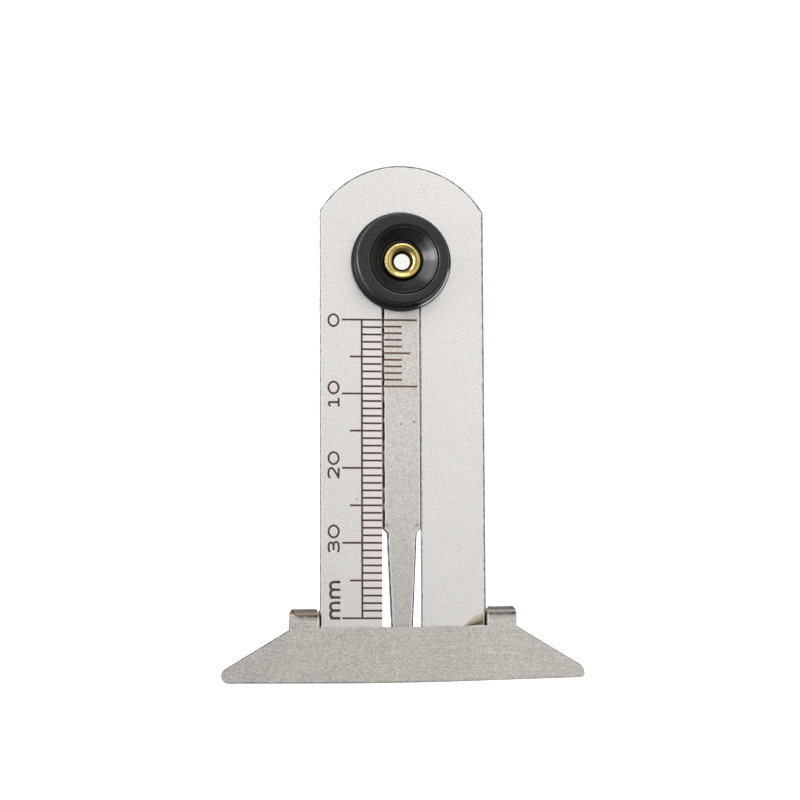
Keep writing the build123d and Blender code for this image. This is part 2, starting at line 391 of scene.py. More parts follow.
def make_edge_line():
    """A thin line of painted shade along an outline, with a painted highlight inside it, from the
    distance to it.
    """
    tree, given, out = new_group(
        "edge_line", ["Dark", "Pale"], Distance=1.0, Dark_Width=0.15, Pale_Width=0.3, Outermost=1.0
    )
    noise = add_node(tree, "ShaderNodeTexNoise", Vector=given["Vector"], Scale=1.1, Detail=4.0)
    uneven = ramp_between(noise["Fac"], 0.3, 0.6, 0.8, 1.0)
    wander = ramp_between(noise["Fac"], 0.3, 0.7, 0.85, 1.15)
    distance = given["Distance"]
    dark_reach = times(given["Dark Width"], wander)
    dark = ramp_between(distance, dark_reach, times(dark_reach, 0.75))
    pale_reach = times(given["Pale Width"], wander)
    pale = ramp_between(distance, pale_reach, times(pale_reach, 0.7))
    pale = minus(pale, dark, clamp=True)
    dark = times(dark, ramp_between(distance, 0.03, 0.11, given["Outermost"], 1.0))
    feed(out["Dark"], times(dark, uneven))
    feed(out["Pale"], times(pale, uneven))
    return tree


def make_soft_patch():
    """A soft-edged patch at one place on the printed side, with its long side turned, as a mask."""
    tree, given, out = new_group(
        "soft_patch", ["Mask"], X=0.0, Y=0.0, Half_Length=1.0, Half_Width=1.0, Turn=0.0, Softness=0.5
    )
    middle = join(given["X"], given["Y"])
    turned = add_node(
        tree,
        "ShaderNodeVectorRotate",
        {"rotation_type": "Z_AXIS"},
        Vector=given["Vector"],
        Center=middle,
        Angle=times(given["Turn"], -1.0),
    )
    apart = split(vector_step("SUBTRACT", turned[0], middle))
    along = absolute(sum_up("DIVIDE", apart["X"], given["Half Length"]))
    across = absolute(sum_up("DIVIDE", apart["Y"], given["Half Width"]))
    reach = plus(sum_up("POWER", along, 4.0), sum_up("POWER", across, 4.0))
    patch = ramp_between(sum_up("POWER", reach, 0.25), 1.0, minus(1.0, given["Softness"]))
    upward = split(add_node(tree, "ShaderNodeNewGeometry")["Normal"])["Z"]
    feed(out["Mask"], times(patch, sum_up("GREATER_THAN", upward, 0.0)))
    return tree


def make_turned_rings():
    """Fine rings round an axis at the vector's origin, left by turning, as a value from 0 to 1."""
    tree, given, out = new_group("turned_rings", ["Value"], Spacing=0.15)
    steps = sum_up("DIVIDE", distance_from(given["Vector"], 0, 0), given["Spacing"])
    noise = add_node(
        tree, "ShaderNodeTexNoise", {"noise_dimensions": "1D"}, W=steps, Scale=1.0, Detail=2.0
    )
    feed(out["Value"], ramp_between(noise["Fac"], 0.3, 0.7))
    return tree


sheet_grain = make_grain()
fine_scratches = make_scratches()
scattered_specks = make_specks()
handling_smudges = make_smudges()
cut_edge = make_cut_edge()
edge_line = make_edge_line()
soft_patch = make_soft_patch()
turned_rings = make_turned_rings()


# Finishes

def new_finish(name, origin=(0, 0, 0), turn=0.0):
    """A material, its shader, and a piece's own millimetres from its origin and its turn."""
    material = bpy.data.materials.new(name)
    material.use_nodes = True
    tree = material.node_tree
    x, y, z = origin
    cosine, sine = math.cos(turn), math.sin(turn)
    place = add_node(
        tree,
        "ShaderNodeMapping",
        Vector=add_node(tree, "ShaderNodeTexCoord")["Object"],
        Location=(-x * cosine - y * sine, x * sine - y * cosine, -z),
        Rotation=(0, 0, -turn),
        Scale=(MM_IN_A_METRE,) * 3,
    )
    return material, tree.nodes["Principled BSDF"], place[0]


def add_relief(shader, height, depth):
    """Turns a height from 0 to 1 into relief of that depth in millimetres."""
    bump = add_node(shader.id_data, "ShaderNodeBump", Height=height, Distance=depth * MM, Strength=1.0)
    feed(shader.inputs["Normal"], bump["Normal"])


def grain_over(place, length, width):
    """Grain of this size in millimetres, as a value from 0 to 1."""
    return use_group(sheet_grain, place, Length=length, Width=width)["Value"]


def clouds_over(place, size):
    """Clouds of this size in millimetres, as a value from 0 to 1."""
    return use_group(handling_smudges, place, Size=size)["Value"]


def lay_patches(tone, place, patches):
    """Lays soft patches over a tone: (colour, share, X, Y, half length, half width, turn, softness).

    A patch without its last values is not turned, and half as soft as it can be.
    """
    for colour, share, x, y, half_length, half_width, *rest in patches:
        turn, softness = [*rest, *(0.0, 0.5)[len(rest):]]
        patch = use_group(
            soft_patch,
            place,
            X=x,
            Y=y,
            Half_Length=half_length,
            Half_Width=half_width,
            Turn=turn,
            Softness=softness,
        )["Mask"]
        tone = blend_colour(times(patch, share), tone, colour)
    return tone


def steel_sheet(name, origin, turn, colour, grain_size, contrast, roughness, relief, patchy=0.5):
    """Sheet steel with grain, clouds, scratches and pits. Returns what a finish adds to."""
    material, shader, place = new_finish(name, origin, turn)
    grain = grain_over(place, *grain_size)
    patches = grain_over(place, 0.5, 0.4)
    clouds = clouds_over(place, 6.0)
    marks = use_group(
        fine_scratches, place, Turn=0.02, Length=14.0, Spacing=2.6, Width=0.07, Share=0.45
    )["Mask"]
    nicks = use_group(
        fine_scratches, place, Turn=0.7, Length=2.4, Spacing=1.7, Width=0.05, Share=0.2
    )["Mask"]
    pits = use_group(scattered_specks, place, Spacing=2.2, Size=0.16, Share=0.22)["Mask"]
    light = tuple(min(1.0, part) for part in shade(colour, 1 + contrast))
    tone = blend_colour(grain, shade(colour, 1 - contrast), light)
    red, green, blue = colour
    warm = (red * 1.03, green * 0.965, blue * 0.95)
    tone = blend_colour(times(patches, patchy), tone, warm)
    tone = blend_colour(times(clouds, 0.3 * contrast), tone, shade(colour, 0.75))
    worn = larger(larger(marks, nicks), pits)
    tone = blend_colour(times(worn, 0.22), tone, GRIME_AND_SHADE_COLOUR)
    rough = ramp_between(clouds, 0.0, 1.0, roughness - 0.04, roughness + 0.04)
    rough = plus(rough, times(grain, 0.05))
    add_relief(shader, minus(grain, times(worn, 1.5)), relief)
    return material, shader, place, tone, rough


def division_marks(height, pitch, divisions):
    """Marks as wide as the printed ones, one at each division down from the zero, as a mask."""
    steps = sum_up("DIVIDE", minus(SCALE_ZERO_Y, height), pitch)
    nearest = smaller(larger(sum_up("ROUND", steps), 0.0), float(divisions))
    away = absolute(minus(steps, nearest))
    half = LINE_WIDTH / 2 / pitch
    return ramp_between(away, half * 1.1, half * 0.9)


def line_edges(place, tone, distance, dark_width, pale_width, share=1.0, outermost=1.0):
    """Draws the thin lines of painted shade and painted highlight that follow a sheet's outline."""
    lines = use_group(
        edge_line,
        place,
        Distance=distance,
        Dark_Width=dark_width,
        Pale_Width=pale_width,
        Outermost=outermost,
    )
    tone = blend_colour(times(lines["Pale"], 0.6), tone, PAINTED_HIGHLIGHT_COLOUR)
    return blend_colour(times(lines["Dark"], share), tone, OUTLINE_SHADE_COLOUR)


def sheared(shader, place, tone, rough, start, end, where=1.0, colour=CUT_EDGE_AND_SHADE_COLOUR):
    """Ends a sheet's finish with its duller sheared edges, darkened partly by the steel's own colour
    and partly by painted shade.
    """
    edge = times(use_group(cut_edge, place, Start=start, End=end)["Mask"], where)
    tone = blend_colour(edge, tone, colour)
    rough = plus(rough, times(edge, 0.25))
    set_inputs(shader, Base_Color=tone, Roughness=rough, Metallic=1.0)


def rounded_reach(across, up):
    """How far each point lies from a middle line that runs up to a round end's centre at height 0."""
    above = larger(up, 0.0)
    return sum_up("SQRT", plus(sum_up("POWER", across, 2.0), sum_up("POWER", above, 2.0)))


def plate_finish():
    """The scale plate: pale satin sheet, a little pink under the print, with a painted reflection and
    shadow at one lower corner and painted shade near the foot and the arch.
    """
    material, shader, place, tone, rough = steel_sheet(
        "plate_satin_steel", PLATE_ORIGIN, 0.0, PLATE_COLOUR, (0.19, 0.16), 0.3, 0.34, 0.0016
    )
    red, green, blue = PLATE_COLOUR
    pink = (red * 1.08, green, blue * 1.04)
    shade_near_foot = (red * 0.9, green * 0.9, blue * 0.885)
    tone = lay_patches(tone, place, [
        (pink, 0.6, -4.0, 28.5, 1.45, 21.5, 0.0, 0.2),
        # Painted shadow over the lower plate, next to the foot
        (shade_near_foot, 0.4, 0.0, 7.0, 14.0, 9.0, 0.0, 0.9),
        (GRIME_AND_SHADE_COLOUR, 0.8, -5.97, 24.34, 0.13, 0.12),
        (GRIME_AND_SHADE_COLOUR, 0.5, 3.22, 66.35, 0.3, 0.05, math.radians(20)),
        (GRIME_AND_SHADE_COLOUR, 0.5, 4.98, 65.27, 0.25, 0.05, math.radians(-30)),
        (GRIME_AND_SHADE_COLOUR, 0.16, 0.0, 63.27, 4.5, 0.06, 0.01, 0.8),
        (GRIME_AND_SHADE_COLOUR, 0.16, 8.1, 56.92, 2.6, 0.06, 0.01, 0.8),
        (GRIME_AND_SHADE_COLOUR, 0.16, 6.2, 45.56, 3.8, 0.06, 0.01, 0.8),
        (GRIME_AND_SHADE_COLOUR, 0.16, -7.0, 20.2, 2.8, 0.06, 0.01, 0.8),
    ])
    from_foot = split(place)
    across, up = from_foot["X"], from_foot["Y"]
    # Painted shade: darker towards the arch, most of all on the left
    arch_shade = level_between(up, 15.0, 60.0, 0.0, 0.04)
    arch_shade = times(arch_shade, level_between(across, -2.0, 6.0, 1.0, 0.2))
    tone = blend_colour(arch_shade, tone, (0.0, 0.0, 0.0))
    # A painted reflection of the foot's fold: a wedge from the leaf's edge to the right side, with a
    # painted shadow line along its lower edge
    reflection_x, reflection_y = CORNER_REFLECTION_START
    away = larger(minus(across, reflection_x), 0.01)
    rise = sum_up("DIVIDE", minus(up, reflection_y), away)
    rise = plus(rise, level_between(clouds_over(place, 0.9), 0.0, 1.0, -0.06, 0.06))
    brown = band_colours(rise, CORNER_REFLECTION_COLOURS)
    wedge = times(ramp_between(rise, 0.85, 0.55), ramp_between(away, 0.1, 1.3))
    tone = blend_colour(times(wedge, 0.95), tone, brown)
    # Painted shade and highlight lines along the outline, from how far each point lies inside the two
    # straight sides and the arched top
    apart = split(vector_step("SUBTRACT", place, (PLATE_SHIFT, PLATE_HEIGHT - ARCH_RADIUS, 0)))
    inside_sides = minus(PLATE_HALF_WIDTH, absolute(apart["X"]))
    inside_arch = minus(ARCH_RADIUS, rounded_reach(apart["X"], apart["Y"]))
    inside = smaller(inside_sides, inside_arch)
    dark_width = level_between(apart["X"], -10.5, -9.5, 0.25, 0.32)
    tone = line_edges(place, tone, inside, dark_width, plus(dark_width, 0.13), 0.74, 0.1)
    # The slot's edges, with painted shade and highlight lines for the gap beside the blade, and the
    # scale's marks where they run out over its left one
    from_slot = minus(rounded_reach(across, minus(up, SLOT_ARC_Y)), SLOT_HALF_WIDTH)
    dark_width = times(sum_up("GREATER_THAN", across, 0.0), SLOT_LINE_WIDTH)
    tone = line_edges(place, tone, from_slot, dark_width, SLOT_LINE_WIDTH, 0.85)
    on_rounding = sum_up("GREATER_THAN", from_foot["Z"], -0.11)
    at_left = times(on_rounding, sum_up("LESS_THAN", across, 0.0))
    beside_slot = ramp_between(across, -2.84, -2.78)
    marks = times(division_marks(up, 1.0, 40), times(beside_slot, at_left))
    tone = blend_colour(times(marks, 0.9), tone, INK_COLOUR)
    # Painted shadow in the gaps where the foot's tabs come up against the plate's sides
    tone = lay_patches(tone, place, [
        (GAP_SHADOW_COLOUR, 1.0, -10.86, 8.2, 0.17, 1.05, 0.0, 0.4),
        (GAP_SHADOW_COLOUR, 1.0, 11.13, 8.25, 0.17, 1.1, 0.0, 0.4),
    ])
    sheared(shader, place, tone, rough, 0.5, 0.9)
    return material


def blade_finish():
    """The probe blade: a darker and warmer sheet than the plate, darker towards the probe's end, with
    painted shade and highlights along its edges.
    """
    material, shader, place, tone, rough = steel_sheet(
        "blade_satin_steel", PLATE_ORIGIN, 0.0, BLADE_COLOUR, (0.12, 0.12), 0.36, 0.34, 0.002, 0.1
    )
    apart = split(place)
    across, up = apart["X"], apart["Y"]
    tone = vector_step("MULTIPLY", tone, band_colours(up, [
        (height, (grey, grey, grey)) for height, grey in BLADE_BRIGHTNESS_BY_HEIGHT
    ]))
    tone = lay_patches(tone, place, [
        (GRIME_AND_SHADE_COLOUR, 0.9, -0.05, 34.43, 0.14, 0.13),
        (GRIME_AND_SHADE_COLOUR, 1.0, 1.70, 34.71, 0.13, 0.15),
    ])
    # Painted shade and highlight lines along the outline, from half the blade's width at each height:
    # the probe, its shoulder and the guide
    half_width = plus(
        level_between(up, 0.0, SHOULDER_LOW_Y, TIP_HALF_WIDTH, PROBE_HALF_WIDTH),
        level_between(up, SHOULDER_LOW_Y, SHOULDER_HIGH_Y, 0.0, SHOULDER_STEP),
    )
    sideways = minus(across, SLIDER_SHIFT)
    inside = minus(half_width, absolute(sideways))

    def over_shoulder(below, above):
        """One value along the probe, and another along the guide."""
        return level_between(up, 19.0, 21.0, below, above)

    narrower = times(sum_up("GREATER_THAN", sideways, 0.0), over_shoulder(0.0, 0.22))
    dark_width = minus(over_shoulder(0.2, 0.3), narrower)
    pale_width = plus(dark_width, 0.2)
    tone = line_edges(place, tone, inside, dark_width, pale_width, over_shoulder(0.9, 1.0))
    # The vernier's marks where they run out to the blade's left edge
    at_left = times(ramp_between(across, -2.2, -2.26), sum_up("GREATER_THAN", apart["Z"], -0.2))
    marks = times(division_marks(up, 0.9, 10), at_left)
    tone = blend_colour(times(marks, 0.9), tone, VERNIER_INK_COLOUR)
    # Scuffs at the corners of the shoulder
    tone = lay_patches(tone, place, [
        (GRIME_AND_SHADE_COLOUR, 0.4, x, 20.9, 0.45, 0.4, 0.5, 0.9) for x in (-2.0, 2.05)
    ])
    # Its sheared edges nearly black: painted shade in the gaps beside it
    sheared(shader, place, tone, rough, 0.25, 0.6, 1.0, OUTLINE_SHADE_COLOUR)
    return material


def foot_finish():
    """The foot: a matt sheet with fine grain and long streaks, creased at its folds and darkened there
    with painted shade and reflection.
    """
    material, shader, place, tone, rough = steel_sheet(
        "foot_matt_steel", FOOT_ORIGIN, FOOT_SKEW, FOOT_COLOUR, (0.26, 0.13), 0.4, 0.4, 0.003, 0.3
    )
    apart = split(place)
    across, up = apart["X"], apart["Y"]
    # Streakier and paler towards the right
    streaks = times(grain_over(place, 9.0, 0.17), ramp_between(across, -2.0, 6.0, 0.24, 0.5))
    tone = blend_colour(streaks, tone, shade(FOOT_COLOUR, 0.62))
    tone = brighten(tone, level_between(across, -6.0, 12.0, 1.04, 1.135))
    # Painted shade and reflection bands on the folds. The left fold's lower crease climbs to the
    # corner of its tab, and both creases waver
    climb = ramp_between(across, -13.5, -15.0, 0.0, 0.5)
    waver = level_between(grain_over(place, 0.7, 0.35), 0.0, 1.0, -0.11, 0.11)
    crease = minus(plus(up, waver), climb)
    bands = [band_colours(crease, colours) for colours in (LEFT_FOLD_SHADE_COLOURS, RIGHT_FOLD_SHADE_COLOURS)]
    band = blend_colour(ramp_between(across, -1.0, 1.0), *bands)
    speckle = level_between(grain_over(place, 0.22, 0.16), 0.0, 1.0, 0.0, 0.4)
    band = blend_colour(speckle, band, CUT_EDGE_AND_SHADE_COLOUR)
    fold_shade = ramp_between(crease, 8.25, 8.5)
    fold_shade = times(fold_shade, level_between(crease, 8.6, 8.85, 0.6, 1.0))
    tone = blend_colour(fold_shade, tone, band)
    # Painted shade in the corners of the folds, and painted highlights on edges that catch the light
    tone = lay_patches(tone, place, [
        (GRIME_AND_SHADE_COLOUR, 0.95, -14.62, 9.62, 0.15, 0.3, 0.35, 0.6),
        (GRIME_AND_SHADE_COLOUR, 0.95, -11.46, 8.9, 0.14, 0.3, -0.1, 0.6),
        (GRIME_AND_SHADE_COLOUR, 0.95, -11.7, 8.98, 0.3, 0.1, -0.4, 0.6),
        (GRIME_AND_SHADE_COLOUR, 0.95, 14.66, 9.0, 0.24, 0.14, -0.9, 0.6),
        (GRIME_AND_SHADE_COLOUR, 0.95, 14.5, 9.72, 0.3, 0.1, -0.9, 0.6),
        (PAINTED_HIGHLIGHT_COLOUR, 0.8, -11.32, 8.3, 0.09, 0.95, 0.0, 0.7),
        (PAINTED_HIGHLIGHT_COLOUR, 0.8, 11.34, 8.3, 0.09, 0.95, 0.0, 0.7),
        (PAINTED_HIGHLIGHT_COLOUR, 0.9, 9.9, 7.27, 1.6, 0.09, 0.0, 0.7),
    ])
    # Painted shade and highlight lines along the outline, from how far each point lies inside the
    # sloping wings and the lower edge
    sideways = absolute(across)
    beyond = larger(minus(sideways, WING_START_X), 0.0)
    right_wing = sum_up("GREATER_THAN", across, 0.0)
    fall = plus(times(right_wing, RIGHT_WING_EXTRA_FALL), WING_FALL)
    inside_wing = times(minus(minus(WING_TOP_Y, times(beyond, fall)), up), WING_COSINE)
    between_wings = times(sum_up("LESS_THAN", sideways, WING_START_X), 10.0)
    inside_wing = plus(inside_wing, between_wings)
    lift = times(larger(minus(sideways, LOWER_EDGE_LEVEL_X), 0.0), LOWER_EDGE_RISE)
    inside = smaller(inside_wing, minus(up, lift))
    share = level_between(across, -8.0, 14.0, 0.45, 0.2)
    tone = line_edges(place, tone, inside, 0.2, 0.2, share)
    below_folds = ramp_between(up, 8.7, 8.4)
    where = times(below_folds, level_between(across, -8.0, 14.0, 1.0, 0.55))
    sheared(shader, place, tone, rough, 0.03, 0.3, where)
    return material


def plastic_finish():
    """The knobs: semi-gloss black moulding with turned rings, a fine skin and a little dust, with
    painted shade on the flange and painted highlights on the dish's lip and the flange's lower right.
    """
    material, shader, place = new_finish("knob_black_plastic", SLIDER_AXIS)
    skin = grain_over(place, 0.2, 0.2)
    rings = use_group(turned_rings, place, Spacing=0.12)["Value"]
    clouds = clouds_over(place, 3.0)
    dust = use_group(scattered_specks, place, Spacing=0.8, Size=0.09, Share=0.3)["Mask"]
    tone = blend_colour(clouds, PLASTIC_COLOUR, shade(PLASTIC_COLOUR, 1.4))
    apart = split(place)
    # Less of the pale skin on the flange: painted shade beside the wall
    skin_share_with_flange_shade = ramp_between(absolute(apart["Z"]), 1.0, 1.4, 0.4, 1.0)
    tone = blend_colour(times(skin, skin_share_with_flange_shade), tone, PLASTIC_SKIN_COLOUR)
    # A painted highlight on the lip round the dish, strongest on its left
    from_lip = absolute(minus(distance_from(place, *DISH_OFFSET), LIP_RADIUS))
    turned_left = ramp_between(plus(apart["X"], times(apart["Y"], 0.5)), 1.5, -4.0)
    lip_highlight = times(ramp_between(from_lip, 0.13, 0.03), turned_left)
    tone = blend_colour(times(lip_highlight, 0.5), tone, (0.1, 0.1, 0.1))
    # A painted highlight on the top of the front flange, at the lower right
    from_axis = distance_from(place, 0.0, 0.0)
    flange_highlight = times(ramp_between(from_axis, 6.38, 6.46), ramp_between(from_axis, 6.66, 6.6))
    flange_highlight = times(flange_highlight, ramp_between(apart["Z"], 0.9, 0.96))
    right, down = FLANGE_HIGHLIGHT_SIDE
    lower_right = minus(times(apart["X"], right), times(apart["Y"], down))
    flange_highlight = times(flange_highlight, ramp_between(lower_right, 5.5, 6.1))
    tone = blend_colour(flange_highlight, tone, PAINTED_HIGHLIGHT_COLOUR)
    tone = blend_colour(times(dust, 0.5), tone, DUST_COLOUR)
    rough = plus(ramp_between(clouds, 0.0, 1.0, 0.16, 0.22), times(skin, 0.05))
    rough = plus(rough, times(dust, 0.2))
    height = plus(plus(skin, times(dust, 2.0)), times(rings, 0.8))
    add_relief(shader, height, 0.0025)
    set_inputs(shader, Base_Color=tone, Roughness=rough, Metallic=0.0, Specular_IOR_Level=0.36)
    return material


def brass_finish():
    """The hollow rivet: bright rolled brass with faint rings, with painted light at its upper left and
    painted shade in its crease, low on its beads, on its skirt and down its bore.
    """
    material, shader, place = new_finish("eyelet_rolled_brass", SLIDER_AXIS)
    grain = grain_over(place, 0.1, 0.1)
    rings = use_group(turned_rings, place, Spacing=0.06)["Value"]
    clouds = clouds_over(place, 1.2)
    tone = blend_colour(clouds, BRASS_COLOUR, shade(BRASS_COLOUR, 0.84))
    apart = split(place)
    in_bore = ramp_between(absolute(apart["Z"]), 2.16, 2.04)
    # Painted light: brighter at the upper left, darker at the lower right
    tone = brighten(tone, level_between(minus(apart["X"], apart["Y"]), -2.6, 2.6, 1.22, 0.82))
    # Painted shade in the crease between the two beads, deepest at the sides
    x, y = EYELET_OFFSET
    radius = distance_from(place, x, y)
    crease = ramp_between(absolute(minus(radius, CREASE_RADIUS)), 0.11, 0.02)
    at_sides = ramp_between(absolute(minus(apart["X"], x)), 0.2, 1.9, 0.1, 0.9)
    tone = blend_colour(times(crease, at_sides), tone, (0.12, 0.09, 0.026))
    # Painted shade low on the right of the inner bead, and along the bottom of the outer one
    tone = lay_patches(tone, place, [
        ((0.3, 0.23, 0.08), 0.75, x + 1.6, y - 0.1, 0.32, 1.15, 0.0, 0.5),
        ((0.2, 0.15, 0.05), 0.75, x - 0.1, y - 2.45, 1.7, 0.5, 0.0, 0.7),
    ])
    # Painted shade on the outer skirt and down the bore
    tone = blend_colour(times(ramp_between(radius, 2.34, 2.5), 0.92), tone, (0.05, 0.035, 0.012))
    tone = blend_colour(times(in_bore, 0.97), tone, (0.02, 0.012, 0.006))
    rough = plus(ramp_between(clouds, 0.0, 1.0, 0.18, 0.28), times(in_bore, 0.5))
    add_relief(shader, plus(grain, times(rings, 0.6)), 0.0008)
    set_inputs(shader, Base_Color=tone, Roughness=rough, Metallic=1.0)
    return material


def ink_finish(name, colour):
    """Printed ink, a little thin in places."""
    material, shader, place = new_finish(name)
    grain = grain_over(place, 0.09, 0.09)
    thin = times(grain, clouds_over(place, 2.0))
    tone = blend_colour(times(thin, 0.22), colour, (0.3, 0.22, 0.21))
    rough = ramp_between(grain, 0.0, 1.0, 0.45, 0.6)
    add_relief(shader, grain, 0.001)
    set_inputs(shader, Base_Color=tone, Roughness=rough, Metallic=0.0, Specular_IOR_Level=0.25)
    return material


def dress(node, material):
    """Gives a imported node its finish."""
    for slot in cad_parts[node].material_slots:
        slot.material = material


# Pieces

def rename(piece, name):
    """Gives a piece and its mesh one name."""
    piece.name = name
    piece.data.name = name
    return piece


def copy_of(piece, name):
    """A copy of a piece, under a name of its own."""
    bpy.ops.object.select_all(action="DESELECT")
    piece.select_set(True)
    bpy.context.view_layer.objects.active = piece
    bpy.ops.object.duplicate()
    return rename(bpy.context.object, name)


def merge_points(distance):
    """Merges the points, in edit mode, that are nearer to each other than this, in millimetres."""
    bpy.ops.mesh.select_all(action="SELECT")
    bpy.ops.mesh.remove_doubles(threshold=distance * MM)


def start_point(name, place):
    """A new mesh that is one point, in edit mode and selected. The place is in millimetres."""
    bpy.ops.object.select_all(action="DESELECT")
    bpy.ops.mesh.primitive_plane_add(size=MM)
    piece = rename(bpy.context.object, name)
    bpy.ops.object.mode_set(mode="EDIT")
    bpy.ops.mesh.select_all(action="SELECT")
    bpy.ops.mesh.merge(type="CENTER")
    bpy.ops.transform.translate(value=[value * MM for value in place])
    return piece


def draw_on(points):
    """Extrudes the selected point through the others, in millimetres."""
    for here, there in zip(points, points[1:]):
        step = [(b - a) * MM for a, b in zip(here, there)]
        bpy.ops.mesh.extrude_vertices_move(TRANSFORM_OT_translate={"value": step})


def arc(centre, radius, start, end, steps):
    """Points on an arc of a section, with its angles in degrees from the outward side."""
    angles = [math.radians(start + (end - start) * step / steps) for step in range(steps + 1)]
    return [(centre[0] + radius * math.cos(a), centre[1] + radius * math.sin(a)) for a in angles]


def turn_piece(name, section, steps, offset=(0, 0)):
    """Spins a closed section of (radius, height) about the slider's axis, or a line beside it."""
    x, y, z = SLIDER_AXIS
    x, y = x + offset[0], y + offset[1]
    points = [(x + radius, y, z + height) for radius, height in section]
    piece = start_point(name, points[0])
    draw_on(points + points[:1])
    merge_points(0.002)
    bpy.ops.mesh.select_all(action="SELECT")
    bpy.ops.mesh.spin(steps=steps, angle=2 * math.pi, center=(x * MM, y * MM, 0), axis=(0, 0, 1))
    merge_points(0.001)
    bpy.ops.mesh.normals_make_consistent(inside=False)
    bpy.ops.object.mode_set(mode="OBJECT")
    bpy.ops.object.shade_smooth_by_angle(angle=math.radians(32))
    return piece


def turn_front_knob():
    """The front knob: flange, waisted wall, rounded rim, the lip's groove and ridge, and the dish."""
    section = [(1.90, 0.45), (2.25, 0.45), (2.25, 0.55), (6.71, 0.55), (6.75, 0.59), (6.75, 0.95)]
    section += [(6.74, 0.985), (6.71, 1.0)]
    section += arc((6.42, 1.12), 0.12, 270, 180, 5)
    section += [(6.27, 1.4), (6.20, 1.8), (6.14, 2.2), (6.12, 2.6), (6.14, 2.9), (6.19, 3.1)]
    section += arc((5.88, 3.31), 0.34, -12, 90, 12)
    section += [(4.92, 3.65), (4.85, 3.64), (4.78, 3.615), (4.72, 3.575), (4.67, 3.52), (4.63, 3.43)]
    section += [(4.59, 3.38), (4.55, 3.42), (4.51, 3.52), (4.46, 3.54), (4.43, 3.535), (4.40, 3.512)]
    section += [(4.27, 3.408), (4.23, 3.376), (4.21, 3.25), (4.19, 3.176)]
    section += [(4.14, 3.136), (4.02, 3.04), (3.4, 2.547), (2.95, 2.19), (2.86, 2.12), (2.82, 2.08)]
    section += [(2.79, 1.95), (2.76, 1.62), (2.60, 1.60), (1.90, 1.60)]
    knob = turn_piece("knob_front_turned", section, 128)
    # The dish and its lip are moulded a little off the middle
    x, y, z = SLIDER_AXIS
    points = knob.data.vertices
    for point in points:
        radius = math.hypot(point.co.x / MM - x, point.co.y / MM - y)
        point.select = DISH_INNER_RADIUS < radius < DISH_OUTER_RADIUS and point.co.z > z * MM
    for part in (*knob.data.edges, *knob.data.polygons):
        part.select = all(points[number].select for number in part.vertices)
    bpy.ops.object.mode_set(mode="EDIT")
    bpy.ops.transform.translate(value=(DISH_OFFSET[0] * MM, DISH_OFFSET[1] * MM, 0))
    bpy.ops.object.mode_set(mode="OBJECT")
    return knob


def mirror_to_back(piece, name):
    """A copy of a front piece on the back of the gauge."""
    copy = copy_of(piece, name)
    bpy.ops.object.mode_set(mode="EDIT")
    bpy.ops.mesh.select_all(action="SELECT")
    bpy.ops.transform.resize(value=(1, 1, -1), center_override=[value * MM for value in SLIDER_AXIS])
    bpy.ops.mesh.normals_make_consistent(inside=False)
    bpy.ops.object.mode_set(mode="OBJECT")
    return copy


def turn_eyelet():
    """The hollow rivet: its ends are rolled over in two beads, and its bore opens towards the back."""
    front = [(1.07, 1.40), (1.10, 1.66), (1.17, 1.84), (1.27, 1.95), (1.37, 2.03), (1.47, 2.10)]
    front += [(1.57, 2.17), (1.67, 2.235), (1.77, 2.29), (1.86, 2.325), (1.93, 2.335), (1.99, 2.35)]
    front += [(2.06, 2.385), (2.14, 2.41), (2.24, 2.405), (2.34, 2.375), (2.44, 2.30), (2.52, 2.18)]
    front += [(2.56, 2.08), (2.56, 1.90), (1.95, 1.90), (1.86, 1.90), (1.49, 0.6), (1.49, -0.45)]
    back = [(1.86, -1.90), (1.95, -1.90), (2.56, -1.90), (2.56, -2.08), (2.52, -2.20), (2.44, -2.32)]
    back += [(2.34, -2.385), (2.24, -2.41), (2.14, -2.40), (2.04, -2.34), (1.95, -2.22), (1.87, -2.0)]
    back += [(1.76, -1.6), (1.47, -0.45), (1.38, 0.0)]
    return turn_piece("eyelet_rolled", front + back, 180, EYELET_OFFSET)


def finish_piece(piece, material, body, slot, *nodes):
    """Gives a new piece its finish and its body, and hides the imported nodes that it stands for."""
    piece.data.materials.clear()
    piece.data.materials.append(material)
    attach(piece, body)
    if nodes:
        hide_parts(*nodes)


def ease_foot_edges():
    """A copy of the foot bracket, merged, with its sheared edges slightly broken."""
    foot = copy_of(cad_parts["foot_bracket"], "foot_eased")
    bpy.ops.mesh.customdata_custom_splitnormals_clear()
    bpy.ops.object.mode_set(mode="EDIT")
    merge_points(0.001)
    bpy.ops.mesh.dissolve_limited(angle_limit=math.radians(0.5))
    bpy.ops.mesh.normals_make_consistent(inside=False)
    bpy.ops.object.mode_set(mode="OBJECT")
    bpy.ops.object.shade_smooth_by_angle(angle=math.radians(25))
    eased = foot.modifiers.new("eased_edges", "BEVEL")
    eased.width = 0.12 * MM
    eased.segments = 2
    eased.limit_method = "ANGLE"
    eased.angle_limit = math.radians(40)
    eased.use_clamp_overlap = True
    eased.harden_normals = True
    bpy.ops.object.modifier_apply(modifier="eased_edges")
    return foot


def smooth_stroke(points, steps=6):
    """Points on a smooth line through the stroke's own points. A point given twice stays a corner."""
    if len(points) < 3:
        return list(points)
    closed = points[0] == points[-1]
    ends = [points[-2]] + list(points) + [points[1]] if closed else [points[0], *points, points[-1]]
    line = []
    for before, here, there, after in zip(ends, ends[1:], ends[2:], ends[3:]):
        if here == there:
            continue
        before = here if before == here else before
        after = there if after == there else after
        for step in range(steps):
            t = step / steps
            line.append(tuple(
                0.5 * (2 * b + (c - a) * t + (2 * a - 5 * b + 4 * c - d) * t ** 2
                       + (3 * b - a - 3 * c + d) * t ** 3)
                for a, b, c, d in zip(before, here, there, after)
            ))
    line.append(points[-1])
    return line


